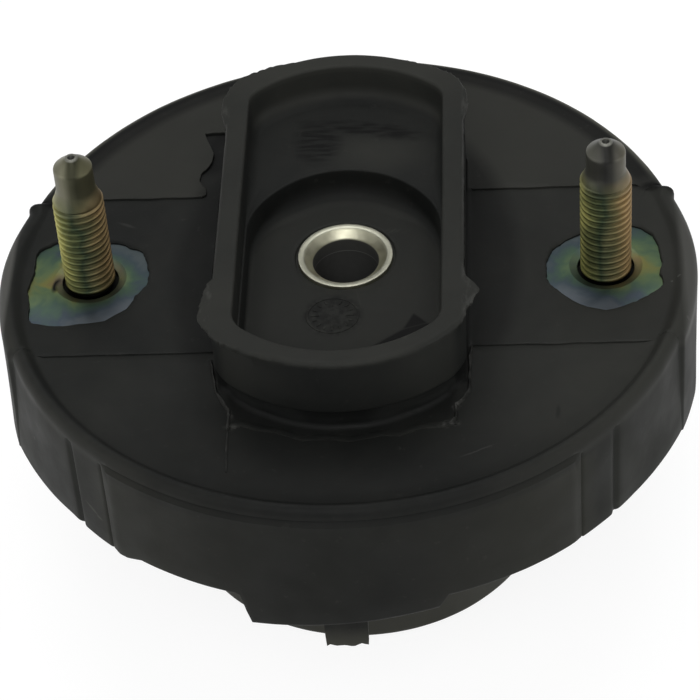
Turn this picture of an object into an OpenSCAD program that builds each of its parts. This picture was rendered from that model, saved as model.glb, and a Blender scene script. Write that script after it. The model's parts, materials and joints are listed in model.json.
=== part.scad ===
// Strut mount: a rubber moulding bonded to a steel plate with two studs and a sleeve for the damper rod.
// Z = 0 is the seating face of the plate, the studs point up, and the pocket's long axis is Y.

/* [Disc] */
// Outer diameter of the rim in the front and rear sectors
disc_d = 136; // [130:1:150]
// Width of the band across the middle that carries the studs
band_w = 46; // [40:1:54]
// How far the ends of the band stand out past the rim
band_proud = 0.9; // [0.3:0.1:1.5]
// How far the ends of the band hang below the skirt
band_foot = 0.4; // [0.2:0.1:1]
// Rubber skin over the plate in the band
band_skin = 0.8; // [0.4:0.1:1.4]
// Rubber skin over the plate in the front sector
front_skin = 0.5; // [0.3:0.1:1.4]
// Rubber skin over the plate in the rear sector
rear_skin = 1.2; // [0.5:0.1:1.8]
// Width of the bare steel patch round each stud
patch_d = 23; // [19:0.5:24]
// Radius of the rounded bead along the rim
bead_r = 1.9; // [1.4:0.1:2.4]

/* [Skirt] */
// Depth of the skirt below the seating face, at its sides
skirt_depth = 24; // [19:0.5:30]
// Thickness of the skirt wall
skirt_t = 5; // [4:0.5:7]
// Radius of the skirt's lower edges
skirt_edge_r = 1; // [0.5:0.1:1.8]
// Angle that the raised front and rear panels span
panel_angle = 81.6; // [60:0.2:84]
// How far the raised panels stand out from the skirt
panel_proud = 0.7; // [0.3:0.1:1.2]
// Depth of the panels' upper edge below the seating face
panel_top = 0.4; // [0.1:0.1:3]
// Angle of the plain strip between a panel and its groove
strip_angle = 8.2; // [5:0.1:10]
// How much shorter the skirt is under the panels
panel_relief = 1.5; // [0.5:0.1:3]
// Width of the upright grooves in the skirt
groove_w = 1.2; // [0.6:0.1:2]
// Depth of the upright grooves
groove_depth = 0.8; // [0.3:0.1:1.2]
// Angle that the front tab spans
tab_angle = 32; // [20:0.5:44]
// How far the front tab hangs below the front panel
tab_drop = 4.5; // [3.5:0.5:8]
// Width of the tongue on the front tab
tag_w = 8.2; // [4:0.2:12]
// How far the tongue hangs below the tab
tag_drop = 8; // [2:0.5:10]
// Thickness of the tongue
tag_t = 2; // [1:0.1:3]

/* [Collar] */
// Height of the collar above the seating face
collar_h = 18.7; // [16:0.1:24]
// Thickness of the collar wall
collar_wall = 4.5; // [3.6:0.1:7]
// Height of the collar's lip over the undercut neck at its ends
lip_h = 12.5; // [9:0.1:13.5]
// Depth of the undercut neck
neck_depth = 2.4; // [1:0.1:3]

/* [Pocket] */
// Width of the pocket between its straight walls
pocket_w = 38.6; // [34:0.2:42]
// Length of the pocket from end to end
pocket_l = 84; // [78:0.5:92]
// Radius of the pocket's curved end walls
pocket_end_r = 26; // [24:0.5:30]
// Radius of the pocket's corners
pocket_corner_r = 6; // [4:0.5:8]
// Depth of the rear shelf below the collar's top
shelf_depth = 7.7; // [5:0.1:10]
// Depth of the pocket floor below the collar's top
floor_depth = 14.4; // [13:0.1:15.8]
// Width of the ledge along the side walls at shelf height
ledge_w = 1; // [0.4:0.1:2]

/* [Boss] */
// Outer diameter of the lower boss
boss_d = 76; // [66:1:82]
// Depth of the boss below the seating face
boss_depth = 66; // [56:1:76]
// Wall thickness of the boss at its lower end
boss_wall = 7.5; // [5:0.5:10]
// Radius of the boss's lower edges
boss_edge_r = 1.5; // [0.5:0.1:2.4]
// Depth of the web's underside below the seating face
web_depth = 20; // [17:0.5:28]
// Rubber between the stud heads and the spring seat
head_cover = 1; // [0.5:0.1:3]
// Radius of the fillets at the roots of the spring channel
root_r = 2.5; // [1:0.1:4]

/* [Plate] */
// Thickness of the mounting plate
plate_t = 3; // [2:0.1:4]
// Rubber between the plate's edge and the rim
plate_cover = 4; // [3:0.5:10]
// Diameter of the plate's central hole
plate_hole_d = 50; // [44:1:56]
// Radial clearance of a stud's shank in its hole in the plate
shank_clearance = 0.1; // [0.05:0.05:0.2]
// Diameter of the shallow dish in the plate round each stud
dish_d = 14.4; // [12:0.1:16]
// Depth of the dish at the edge of the stud's hole
dish_depth = 0.5; // [0.4:0.1:0.8]

/* [Studs] */
// Distance from a stud's axis to the rim
stud_inset = 17; // [15.5:0.5:20]
// Diameter of the stud thread
thread_d = 10; // [8:1:10]
// Height of the thread's upper end above the seating face
thread_top = 21.2; // [16:0.2:30]
// Length of the taper above the thread
taper_l = 2.4; // [1.5:0.1:4]
// Diameter of the plain dog point
point_d = 7.6; // [5.4:0.1:7.8]
// Length of the plain dog point
point_l = 5.4; // [3:0.1:8]
// Length of the cone at the tip
tip_l = 2.2; // [1:0.1:4]
// Diameter of the flat at the tip
tip_d = 2.4; // [1.6:0.1:3]
// Diameter of the centre mark in the tip
mark_d = 1.4; // [0.8:0.1:1.4]
// Diameter of the shank in the plate
shank_d = 11; // [10.4:0.1:12]
// Depth of the shank's shoulder below the seating face
shoulder_depth = 1.5; // [1.2:0.1:1.8]
// Diameter of the relief at the foot of the thread
relief_d = 8.6; // [6:0.1:9]
// Length of the relief between the shoulder and the thread's run-out
relief_l = 0.6; // [0.2:0.1:1]
// Diameter of the stud head under the plate
head_d = 17; // [15:0.5:19]
// Height of the stud head
head_h = 4; // [3:0.5:5]

/* [Sleeve] */
// Outer diameter of the centre sleeve
sleeve_d = 18.8; // [17:0.1:22]
// Diameter of the bore for the damper rod
bore_d = 13; // [10.5:0.1:14]
// Radius of the rounded mouths of the bore
mouth_r = 1.6; // [0.8:0.1:1.8]
// How far the sleeve stands out of the rubber at each end
sleeve_proud = 0.2; // [0.1:0.1:1.5]
// Width of the groove in the rubber round the sleeve
sleeve_groove_w = 0.5; // [0.3:0.1:1.2]
// Depth of the groove in the rubber round the sleeve
sleeve_groove_depth = 0.5; // [0.3:0.1:1.5]

/* [Hidden] */
$fn = 96;
// Length by which a cutter reaches past the surface that it opens
over = 1;
// Overlap of rubber shapes that are moulded as one
merge = 0.5;
// Angle by which the relief under a panel reaches past the panel's ends
relief_past = 0.6;

rim_r = disc_d / 2;
skirt_inner_r = rim_r - skirt_t;
bead_z = front_skin;
groove_angle = panel_angle / 2 + strip_angle;
panel_r = rim_r + panel_proud;
panel_z = -skirt_depth + panel_relief;
tab_z = panel_z - tab_drop;
mid_wall_r = rim_r - skirt_t / 2;
reach_r = rim_r + band_proud + over;
boss_r = boss_d / 2;
cavity_r = boss_r - boss_wall;
plate_r = rim_r - plate_cover;
plate_hole_r = plate_hole_d / 2;
stud_pitch = disc_d - 2 * stud_inset;
stud_hole_d = shank_d + 2 * shank_clearance;
seat_z = -(plate_t + head_h + head_cover);
shelf_z = collar_h - shelf_depth;
floor_z = collar_h - floor_depth;
lip_z = collar_h - lip_h;
sleeve_top = floor_z + sleeve_proud;
sleeve_bottom = -web_depth - sleeve_proud;
point_z = thread_top + taper_l;
tip_z = point_z + point_l;
stud_top = tip_z + tip_l;

// The pocket's outline is two straight sides, four corner arcs and two end arcs, all tangent
side_x = pocket_w / 2;
end_y = pocket_l / 2 - pocket_end_r;
corner_x = side_x - pocket_corner_r;
corner_y = end_y + sqrt(pow(pocket_end_r - pocket_corner_r, 2) - pow(corner_x, 2));
corner_angle = atan2(corner_y - end_y, corner_x);
recess_r = side_x - ledge_w;

// Ragged edges of the rubber round the bare steel at each stud, in patch radii from the stud's axis
left_patch = [
    [-1.04, 0.43], [-0.78, 0.87], [0.26, 0.96], [0.78, 0.61], [1.01, 0], [0.87, -0.61], [0.35, -1.09],
    [-0.91, -1.13], [-1.03, -0.43]
];
right_patch = [
    [-1.01, -0.3], [-0.77, 0.35], [0, 0.78], [0.5, 0.96], [0.87, 0.61], [0.95, -0.35], [0.37, -0.96],
    [-0.3, -0.99], [-0.83, -0.65]
];

// Pocket outline moved outwards by a distance
module pocket_outline(out = 0) {
    square([2 * (side_x + out), 2 * corner_y], center = true);
    for (n = [0, 1]) mirror([0, n]) {
        for (m = [0, 1]) mirror([m, 0]) translate([corner_x, corner_y]) circle(pocket_corner_r + out);
        intersection() {
            translate([0, end_y]) circle(pocket_end_r + out);
            polygon([
                [0, end_y],
                [0, end_y] + pocket_l * [cos(corner_angle), sin(corner_angle)],
                [0, end_y] + pocket_l * [-cos(corner_angle), sin(corner_angle)]
            ]);
        }
    }
}

// Rectangle from a corner, with its upper or its lower corners rounded
module round_top(w, h, r) {
    square([w, h - r]);
    translate([r, 0]) square([w - 2 * r, h]);
    for (x = [r, w - r]) translate([x, h - r]) circle(r);
}

module round_foot(w, h, r) {
    translate([0, h]) mirror([0, 1]) round_top(w, h, r);
}

// Cove between a level ceiling above and an upright wall at the left
module root_cove() {
    difference() {
        translate([-merge, -root_r]) square([root_r + merge, root_r + merge]);
        translate([root_r, -root_r]) circle(root_r);
    }
}

// Turned section of the disc's top with its bead, from a base up to the top face
module disc_section(r, face_z, base_z) {
    translate([0, base_z]) square([r - bead_r, face_z - base_z]);
    translate([r - bead_r, bead_z]) circle(bead_r);
    translate([r - 2 * bead_r, base_z]) square([2 * bead_r, bead_z - base_z]);
}

// Turned section of everything below the disc
module under_section() {
    depth = skirt_depth + seat_z;
    translate([skirt_inner_r, -skirt_depth]) round_foot(skirt_t, depth + merge, skirt_edge_r);
    translate([cavity_r, -boss_depth]) round_foot(boss_wall, boss_depth - web_depth + merge, boss_edge_r);
    translate([0, -web_depth]) square([boss_r, web_depth + seat_z + merge]);
    translate([boss_r, seat_z]) root_cove();
    translate([skirt_inner_r, seat_z]) mirror([1, 0]) root_cove();
}

// Part of a ring about Z, centred on the front or the rear, drawn by a turned section
module arc_piece(angle) {
    rotate(-90 - angle / 2) rotate_extrude(angle = angle) children();
}

module front_and_rear() {
    children();
    rotate(180) children();
}

module band() {
    band_r = rim_r + band_proud;
    foot_z = -skirt_depth - band_foot;
    intersection() {
        rotate_extrude() {
            disc_section(band_r, band_skin, -plate_t);
            translate([mid_wall_r, foot_z]) round_foot(band_r - mid_wall_r, bead_z - foot_z, skirt_edge_r);
        }
        translate([-reach_r, -band_w / 2, foot_z - over])
            cube([2 * reach_r, band_w, bead_z + bead_r - foot_z + 2 * over]);
    }
}

module rear_skin_sheet() {
    translate([0, 0, -plate_t]) linear_extrude(plate_t + rear_skin) intersection() {
        circle(rim_r - bead_r);
        translate([-rim_r, band_w / 2]) square([2 * rim_r, rim_r]);
    }
}

// Raised panels, long enough for the tab until the cuts shorten them
module panels() {
    front_and_rear() arc_piece(panel_angle) polygon([
        [mid_wall_r, tab_z],
        [panel_r - skirt_edge_r, tab_z],
        [panel_r, tab_z + skirt_edge_r],
        [panel_r, -panel_top - panel_proud],
        [rim_r - merge, -panel_top + merge],
        [mid_wall_r, -panel_top + merge]
    ]);
}

// Section that shortens the skirt to the panels' foot
module relief_section() {
    translate([skirt_inner_r - over, tab_z - over]) square([skirt_t + 3 * over, panel_z - tab_z + over]);
}

module panel_cuts() {
    relief_half = panel_angle / 2 + relief_past;
    rotate(180) arc_piece(2 * relief_half) relief_section();
    for (m = [0, 1]) mirror([m, 0, 0])
        rotate(tab_angle / 2 - 90) rotate_extrude(angle = relief_half - tab_angle / 2) relief_section();
    for (m = [0, 1], n = [0, 1]) mirror([m, 0, 0]) mirror([0, n, 0])
        rotate(groove_angle - 90)
            translate([rim_r - groove_depth, -groove_w / 2, -skirt_depth - over])
                cube([groove_depth + 2 * over, groove_w, skirt_depth + over]);
}

// Tongue that hangs from the front tab
module tag() {
    translate([-tag_w / 2, -panel_r + skirt_edge_r, tab_z - tag_drop])
        cube([tag_w, tag_t, tag_drop + tab_drop]);
}

module collar() {
    translate([0, 0, lip_z]) linear_extrude(lip_h) pocket_outline(collar_wall);
    linear_extrude(lip_z + merge) pocket_outline(collar_wall - neck_depth);
    linear_extrude(lip_z + merge) square([2 * (side_x + collar_wall), 2 * corner_y], center = true);
}

// Recess in the pocket floor: round behind the sleeve, and open to the front wall
module recess_outline() {
    circle(recess_r);
    intersection() {
        pocket_outline(-ledge_w);
        translate([-side_x, -pocket_l]) square([2 * side_x, pocket_l]);
    }
}

module pocket_cut() {
    translate([0, 0, shelf_z]) linear_extrude(collar_h) pocket_outline();
    translate([0, 0, floor_z]) linear_extrude(collar_h) recess_outline();
}

module sleeve_cut() {
    translate([0, 0, -web_depth - over]) cylinder(d = sleeve_d, h = web_depth + collar_h);
    translate([0, 0, floor_z - sleeve_groove_depth])
        cylinder(d = sleeve_d + 2 * sleeve_groove_w, h = sleeve_groove_depth + over);
}

module patch_cut(x, outline) {
    translate([x, 0, -over]) linear_extrude(2 * over + max(band_skin, front_skin, rear_skin))
        polygon([for (p = outline) p * patch_d / 2]);
}

module patch_cuts() {
    patch_cut(-stud_pitch / 2, left_patch);
    patch_cut(stud_pitch / 2, right_patch);
}

module plate_blank() {
    translate([0, 0, -plate_t]) difference() {
        cylinder(r = plate_r, h = plate_t);
        translate([0, 0, -over]) cylinder(r = plate_hole_r, h = plate_t + 2 * over);
    }
}

module at_studs() {
    for (x = [-1, 1]) translate([x * stud_pitch / 2, 0, 0]) children();
}

module rubber_body() {
    color("#34352f") difference() {
        union() {
            difference() {
                union() {
                    rotate_extrude() {
                        disc_section(rim_r, front_skin, seat_z);
                        under_section();
                    }
                    panels();
                }
                panel_cuts();
            }
            band();
            rear_skin_sheet();
            tag();
            collar();
        }
        pocket_cut();
        sleeve_cut();
        plate_blank();
        patch_cuts();
        at_studs() translate([0, 0, -plate_t - head_h]) cylinder(d = head_d, h = head_h + merge);
    }
}

// Hole for a stud's shank, with a shallow dish round its upper edge
module stud_hole() {
    slope = (dish_d - stud_hole_d) / dish_depth;
    dish_cut = dish_depth + over;
    translate([0, 0, -plate_t - over]) cylinder(d = stud_hole_d, h = plate_t + 2 * over);
    translate([0, 0, -dish_depth]) cylinder(d1 = stud_hole_d, d2 = stud_hole_d + slope * dish_cut, h = dish_cut);
}

module mounting_plate() {
    color("#9aa39a") difference() {
        plate_blank();
        at_studs() stud_hole();
    }
}

// Half section of a stud, from the underside of its head to its tip
module stud_section() {
    polygon([
        [0, -plate_t - head_h],
        [head_d / 2, -plate_t - head_h],
        [head_d / 2, -plate_t],
        [shank_d / 2, -plate_t],
        [shank_d / 2, -shoulder_depth],
        [relief_d / 2, -shoulder_depth],
        [relief_d / 2, relief_l - shoulder_depth],
        [thread_d / 2, relief_l - shoulder_depth + (thread_d - relief_d) / 2],
        [thread_d / 2, thread_top],
        [point_d / 2, point_z],
        [point_d / 2, tip_z],
        [tip_d / 2, stud_top],
        [mark_d / 2, stud_top],
        [0, stud_top - mark_d / 2]
    ]);
}

module studs() {
    color("#b3a565") at_studs() rotate_extrude() stud_section();
}

// Corner between the bore and a sleeve's end that rounding takes off
module mouth_cut() {
    difference() {
        translate([-over, -over]) square(mouth_r + over);
        translate([mouth_r, mouth_r]) circle(mouth_r);
    }
}

// Half section of the sleeve, with the mouths of its bore rounded
module sleeve_section() {
    length = sleeve_top - sleeve_bottom;
    difference() {
        square([(sleeve_d - bore_d) / 2, length]);
        mouth_cut();
        translate([0, length]) mirror([0, 1]) mouth_cut();
    }
}

module centre_sleeve() {
    color("#cfcdc4") rotate_extrude() translate([bore_d / 2, sleeve_bottom]) sleeve_section();
}

rubber_body();
mounting_plate();
studs();
centre_sleeve();
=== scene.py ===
"""Looks of a strut mount: a rubber moulding with its flash, plated studs and plate, and a turned sleeve.

Lengths are millimetres until a mesh is made. Angles are degrees from the front (-Y) towards +X.
The rubber is one mesh swept round the rod's axis: for each angle a profile runs from the sleeve over the
pocket, the collar, the disc and the bead, down the skirt and back under the disc to the sleeve.
"""
import json
import math

import bmesh
import bpy
from mathutils import Matrix, Vector, noise


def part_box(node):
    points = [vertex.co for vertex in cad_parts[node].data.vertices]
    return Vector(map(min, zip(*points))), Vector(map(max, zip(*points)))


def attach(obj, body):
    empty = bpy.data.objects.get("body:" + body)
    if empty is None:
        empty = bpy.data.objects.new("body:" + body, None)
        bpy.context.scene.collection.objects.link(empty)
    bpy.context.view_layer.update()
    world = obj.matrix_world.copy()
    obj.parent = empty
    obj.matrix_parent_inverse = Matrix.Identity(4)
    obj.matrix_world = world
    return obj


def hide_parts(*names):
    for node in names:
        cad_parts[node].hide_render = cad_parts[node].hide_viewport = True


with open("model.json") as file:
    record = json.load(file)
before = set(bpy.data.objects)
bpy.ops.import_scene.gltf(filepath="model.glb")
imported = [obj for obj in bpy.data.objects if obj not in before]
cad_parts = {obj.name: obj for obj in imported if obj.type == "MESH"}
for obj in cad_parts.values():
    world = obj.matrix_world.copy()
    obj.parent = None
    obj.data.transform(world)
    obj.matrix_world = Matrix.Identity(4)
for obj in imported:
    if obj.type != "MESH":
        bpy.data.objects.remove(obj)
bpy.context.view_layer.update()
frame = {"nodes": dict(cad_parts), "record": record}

MM = 0.001
scene = bpy.context.scene
mounts = {mount["name"]: mount["dims"] for mount in frame["record"]["mounts"]}


def box_mm(node):
    """Lowest and highest corner of a solid, in millimetres."""
    low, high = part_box(node)
    return low / MM, high / MM


rubber_low, rubber_high = box_mm("rubber_body")
sleeve_low, sleeve_high = box_mm("centre_sleeve")
stud_low, stud_high = box_mm("studs")

# Disc and bead
BAND_R = rubber_high.x
RIM_R = BAND_R - 0.9
BAND_HALF = 23
BAND_Z = 0.8
FRONT_Z = 0.5
REAR_Z = 1.2
SEAM_WOBBLE = 0.35
SEAM_DIP = 0.06
RIM_FOOT = 5.3
RIM_CREST = 2.5
RIM_TOP = 2.3
REAR_RIM_TOP = 1.6
REAR_R = RIM_R - 0.6
REAR_LUG_R = RIM_R + 0.1
SECTOR_FOOT = 4.4
SECTOR_CREST = 2.0

# Skirt
SKIRT_INNER_R = RIM_R - 5
TAB_INNER_R = RIM_R - 2.5
SKIRT_Z = -24
BAND_FOOT_Z = -24.4
PANEL_Z = -22.5
TAB_Z = -27
SKIRT_EDGE = 1.0
PANEL_HALF = 41.2
PANEL_FADE = 2.5
PANEL_R = RIM_R + 0.7
PANEL_TOP = -0.4
PANEL_RISE = 0.7
PANEL_QUIRK = 0.4
CRACK_HALF = 0.2
CRACK_DEPTH = 0.25
GROOVE_ANGLE = 49
GROOVE_HALF = 0.6
GROOVE_DEPTH = 0.6
TAB_HALF = 16.2
TAB_SLOPE = 1.1
BAND_ANGLE = math.degrees(math.acos(BAND_HALF / RIM_R))
LUG_ANGLE = BAND_ANGLE + 0.6
LUG_SLOPE = 0.5
CURL_ANGLE = 180 - LUG_ANGLE - 1.1
CURL_HALF = 1.0
CURL_OUT = 0.8
CURL_UP = 0.6

# Lower edge of the skirt at the front, where the tab hangs lower at its left end: angle and height
FRONT_FOOT = [
    (-90, SKIRT_Z), (-41.6, SKIRT_Z), (-37.5, -23.4), (-34.5, -21.9), (-16.6, -21.8), (-15.2, -29.2),
    (15.2, -25.9), (16.3, -23.2), (39, -23.2), (41.6, SKIRT_Z), (90, SKIRT_Z),
]

# How far the skirt leans out at its foot beside the front lugs: angle and distance
FLARE = [
    (-88, 0), (-80, 0.7), (-71.3, 0.9), (-70.3, 1.7), (-62, 0.9), (-52, 0),
    (54, 0), (62, 0.4), (70.3, 1.0), (71.3, 0.25), (80, 0.5), (88, 0),
]
WALL_ROWS = 6

# Collar and pocket
COLLAR_TOP = rubber_high.z
COLLAR_WALL = 4.5
LIP_Z = 6.2
NECK_DEPTH = 2.4
SIDE_X = 19.3
END_R = 26
END_Y = 16
CORNER_R = 6
CORNER_X = SIDE_X - CORNER_R
CORNER_Y = END_Y + math.sqrt((END_R - CORNER_R) ** 2 - CORNER_X ** 2)
CORNER_ANGLE = math.atan2(CORNER_Y - END_Y, CORNER_X)
NECK_HALF = math.degrees(math.atan2(SIDE_X + COLLAR_WALL, CORNER_Y))
SIDE_LEDGE = 0.35
REAR_LEDGE = 1.0
SHELF_Z = 11
SHELF_EDGE = 0.4
SHELF_COVE = 3.0
FLOOR_Z = 4.3
FLOOR_COVE = 1.2
REAR_COVE = 4.0
NECK_FADE = 7
INNER_EDGE = 0.7
OUTER_EDGE = 1.0
LIP_EDGE = 0.8
WALL_DRAFT = 0.15
COLLAR_FOOT = 1.1
NECK_ROWS = [5.7, 5.1, 4.5, 3.9, 3.4, 2.9, 2.4, 1.9, 1.5]

# Boss, web and spring channel
BOSS_R = 38
CAVITY_R = 30.5
BOSS_Z = rubber_low.z
BOSS_EDGE = 1.5
SEAT_Z = -8
WEB_Z = -20
ROOT_R = 2.5

# Sleeve and the groove in the rubber round it
SLEEVE_R = sleeve_high.x
SLEEVE_TOP = sleeve_high.z
SLEEVE_FOOT = sleeve_low.z
BORE_R = mounts["rod_bore"]["r_mm"]
MOUTH_R = 1.6
LAND_DEPTH = 3.1
BORE_RELIEF = 0.25
SLEEVE_EDGE = 0.18
GAP_W = 0.5
GAP_DEPTH = 0.5

# Studs
STUD_X = mounts["studs"]["spacing_x_mm"] / 2
THREAD_R = mounts["studs"]["stud_r_mm"]
THREAD_PITCH = 1.5
THREAD_DEPTH = 0.75
THREAD_FOOT = -0.2
THREAD_END = 0.35
POINT_R = 3.8
# Where the thread ends and the point starts on the left and on the right stud
STUD_ENDS = {-1: (21.2, 23.6), 1: (22.4, 24.3)}
TIP_Z = 29.0
TIP_R = 1.2
MARK_R = 0.75
STUD_TOP = stud_high.z
STUD_FOOT = stud_low.z
HEAD_R = 8.5
PLATE_FOOT = -3
SHANK_R = 5.5
SHOULDER_Z = -1.5
RELIEF_R = 4.3
RELIEF_TOP = -0.9
DISH_R = 7.2
HOLE_R = 5.65

# Windows in the rubber's grid round the studs, where the ragged bare patches are set in
WINDOW_HALF = 20.4
WINDOW_IN = 36.5
WINDOW_OUT = 63.5
WINDOW_ROWS = 11
PATCH_SKIN = 0.3
PATCH_SINK = -1.6

# Ragged edges of the rubber round the studs, from each stud's axis
LEFT_PATCH = [
    (-7.4, 10.9), (-10.8, 8.5), (-11.4, 6.4), (-11.2, 1.8), (-11.8, -1.4), (-12, -3.9), (-11.2, -7.9),
    (-11, -12), (-10.1, -13.2), (-6.8, -13.9), (-2.5, -13.7), (1.3, -13.4), (4.5, -12.9), (5.6, -11.5),
    (8.5, -9.1), (9.4, -5.5), (11.5, -2.8), (11.6, 0.9), (11, 4.4), (9.8, 7.4), (8.7, 8.3), (7, 8.7),
    (5.8, 9.9), (3, 10.4),
]
RIGHT_PATCH = [
    (-5, 9.2), (-7.5, 7.4), (-10.3, 4.7), (-11.6, 0.6), (-11.6, -3.5), (-11, -5.7), (-9.3, -7.7),
    (-8, -9.2), (-5.4, -11.6), (-2.8, -12.9), (-0.4, -13.5), (2, -12.8), (4.7, -11.5), (7.4, -9.8),
    (9.3, -8.5), (10.9, -6.8), (10.7, -4.8), (10.2, -3.5), (11, -0.3), (10.6, 3), (10.4, 5), (9.4, 8.2),
    (7.4, 10.3), (5.7, 11.1),
]

# Flash on the collar's upper edge: angle and how far it reaches out
EARS = [
    (-166, 0), (-160, 0.7), (-151, 1.4), (-145, 1.2), (-142, 1.8), (-139, 1.7), (-137, 1.1), (-135, 0),
    (-47.3, 0), (-46.6, 1.2), (-43.6, 2.1), (-40.7, 3.0), (-38.2, 3.4), (-36.2, 2.6), (-33, 1.6), (-29, 1.6),
    (-25.3, 1.1), (-18, 0.3), (-14, 0),
    (31, 0), (33.5, 0.5), (37.4, 0.7), (40.5, 2.6), (44.8, 4.1), (45.8, 2.6), (46.4, 0.5), (50, 0),
    (136, 0), (138, 1.1), (140.4, 1.3), (144.5, 0.8), (151, 0.8), (158, 0.4), (166, 0),
]
EAR_T = 1.1

# Torn bay in the rear sheet beside the collar: angle and the radius where the sheet begins
BAY = [
    (-148.6, 51.2), (-144.7, 53.2), (-144.1, 51.7), (-143.3, 49), (-142.3, 46.6), (-140.7, 45.2),
    (-138.6, 44), (-136.3, 43.5), (-134.1, 42.9), (-132.2, 41.6), (-131.5, 40.2), (-130.9, 38.7),
    (-129.2, 37.8), (-127.2, 37.8),
]
BAY_Z = 0.5
BAY_SLOPE = 14

# Fins of flash on the face at the collar's foot: line, height, width and seed of its wobble
FLASH = [
    ([(24.6, -22.9), (24.2, -29), (24.1, -35.5), (22.9, -37.8), (21.6, -39.1), (21.6, -42.9),
      (20.1, -44.2)], 0.8, 0.8, 20),
    ([(-25.4, -25), (-24.7, -29.6), (-23.9, -33.7), (-22.6, -36.6), (-21.1, -39.5), (-21.1, -44.3)],
     0.8, 0.8, 23),
    ([(-21.1, -44.1), (-21, -49), (-20.7, -55.3)], 0.16, 0.5, 26),
    ([(-21, -43.2), (-18.4, -42.6), (-15.8, -43.8), (-12, -44.6), (-6.8, -46.9), (-2, -46.7), (2, -47.4),
      (7.8, -46), (11, -46.2), (15.1, -44.4), (19, -44.2), (21.7, -43.6)], 0.2, 1.7, 29),
]
FLASH_STEP = 0.5

# Tongue under the front tab, and the plain mark on the pocket's floor
TAG_HALF = 4.1
TAG_DROP = 8
TAG_T = 2
TAG_STEPS = 12
EMBLEM_AT = (-2, -17.3)
EMBLEM_TALL = 0.1
EMBLEM_STEPS = 72
EMBLEM_TICKS = 16

# Fineness of the meshes, and the moulded surface's unevenness
ANGLE_STEPS = 480
STUD_STEPS = 72
THREAD_ROWS = 12
SLEEVE_STEPS = 128
RIPPLE = 0.05
STEP_EDGE = 0.04


def lerp(a, b, f):
    return a + (b - a) * f


def table(points, x):
    """Value at x on a line through points; 0 outside them."""
    for (x0, y0), (x1, y1) in zip(points, points[1:]):
        if x0 <= x <= x1:
            return lerp(y0, y1, (x - x0) / (x1 - x0))
    return 0


def wave(seed, *place):
    """Smooth noise from -1 to 1 at a place of up to two numbers."""
    x, y = (list(place) + [0])[:2]
    return noise.noise(Vector((x, y, seed * 7.31)))


def smooth(a, b, x):
    f = min(max((x - a) / (b - a), 0), 1)
    return f * f * (3 - 2 * f)


def bell(x, middle, half):
    """1 at the middle, fading out on both sides."""
    return math.exp(-((x - middle) / half) ** 2)


def from_axis(angle):
    """Angle to the nearer of front and rear, from 0 to 90."""
    return min(abs(angle), 180 - abs(angle))


def ray_circle(ux, uy, cx, cy, r):
    """Distance along a ray from the axis to the far side of a circle, or 0 if it passes by."""
    b = ux * cx + uy * cy
    d = b * b - cx * cx - cy * cy + r * r
    return b + math.sqrt(d) if d > 0 else 0


def pocket_wall(angle, out):
    """Distance from the axis to the pocket's outline moved outwards."""
    ux, uy = abs(math.sin(math.radians(angle))), abs(math.cos(math.radians(angle)))
    if (SIDE_X + out) * uy <= CORNER_Y * ux:
        return (SIDE_X + out) / ux
    r = ray_circle(ux, uy, CORNER_X, CORNER_Y, CORNER_R + out)
    if r and math.atan2(r * uy - CORNER_Y, r * ux - CORNER_X) <= CORNER_ANGLE:
        return r
    return ray_circle(ux, uy, 0, END_Y, END_R + out)


def recess_wall(angle):
    ledge = lerp(SIDE_LEDGE, REAR_LEDGE, smooth(95, 140, abs(angle)))
    return SIDE_X - ledge if abs(angle) > 90 else pocket_wall(angle, -ledge)


def arc(r, z, size, start, end, steps):
    """Points on an arc in the profile's plane between two angles."""
    turns = [math.radians(lerp(start, end, k / steps)) for k in range(steps + 1)]
    return [(r + size * math.cos(a), z + size * math.sin(a)) for a in turns]


def to(out, r, z, steps):
    """Runs a profile on in a straight line."""
    r0, z0 = out[-1]
    out += [(lerp(r0, r, k / steps), lerp(z0, z, k / steps)) for k in range(1, steps + 1)]


def pocket_section(angle):
    """From the sleeve over the floor and the shelf or ledge and up the pocket's wall."""
    recess = recess_wall(angle)
    wall = pocket_wall(angle, 0)
    gap = SLEEVE_R + GAP_W
    cove = lerp(FLOOR_COVE, REAR_COVE, smooth(100, 150, abs(angle)))
    edge = min(SHELF_EDGE, 0.45 * (wall - recess))
    bend = min(SHELF_COVE, 0.5 * (wall - recess))
    out = [(SLEEVE_R, FLOOR_Z - GAP_DEPTH), (gap - 0.1, FLOOR_Z - GAP_DEPTH), (gap, FLOOR_Z - 0.15)]
    to(out, gap + 0.2, FLOOR_Z, 1)
    to(out, recess - cove, FLOOR_Z, 8)
    out += arc(recess - cove, FLOOR_Z + cove, cove, -90, 0, 9)[1:]
    to(out, recess, SHELF_Z - edge, 2)
    out += arc(recess + edge, SHELF_Z - edge, edge, 180, 90, 4)[1:]
    to(out, wall - bend, SHELF_Z, 9)
    out += arc(wall - bend, SHELF_Z + bend, bend, -90, 0, 6)[1:]
    to(out, wall + WALL_DRAFT, COLLAR_TOP - INNER_EDGE, 4)
    return out


def ear_reach(angle):
    reach = table(EARS, angle)
    if reach > 0:
        reach = max(0, reach + 0.45 * wave(3, angle * 1.1) * min(1, reach) + 0.3 * wave(4, angle * 3.1))
    return reach


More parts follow.
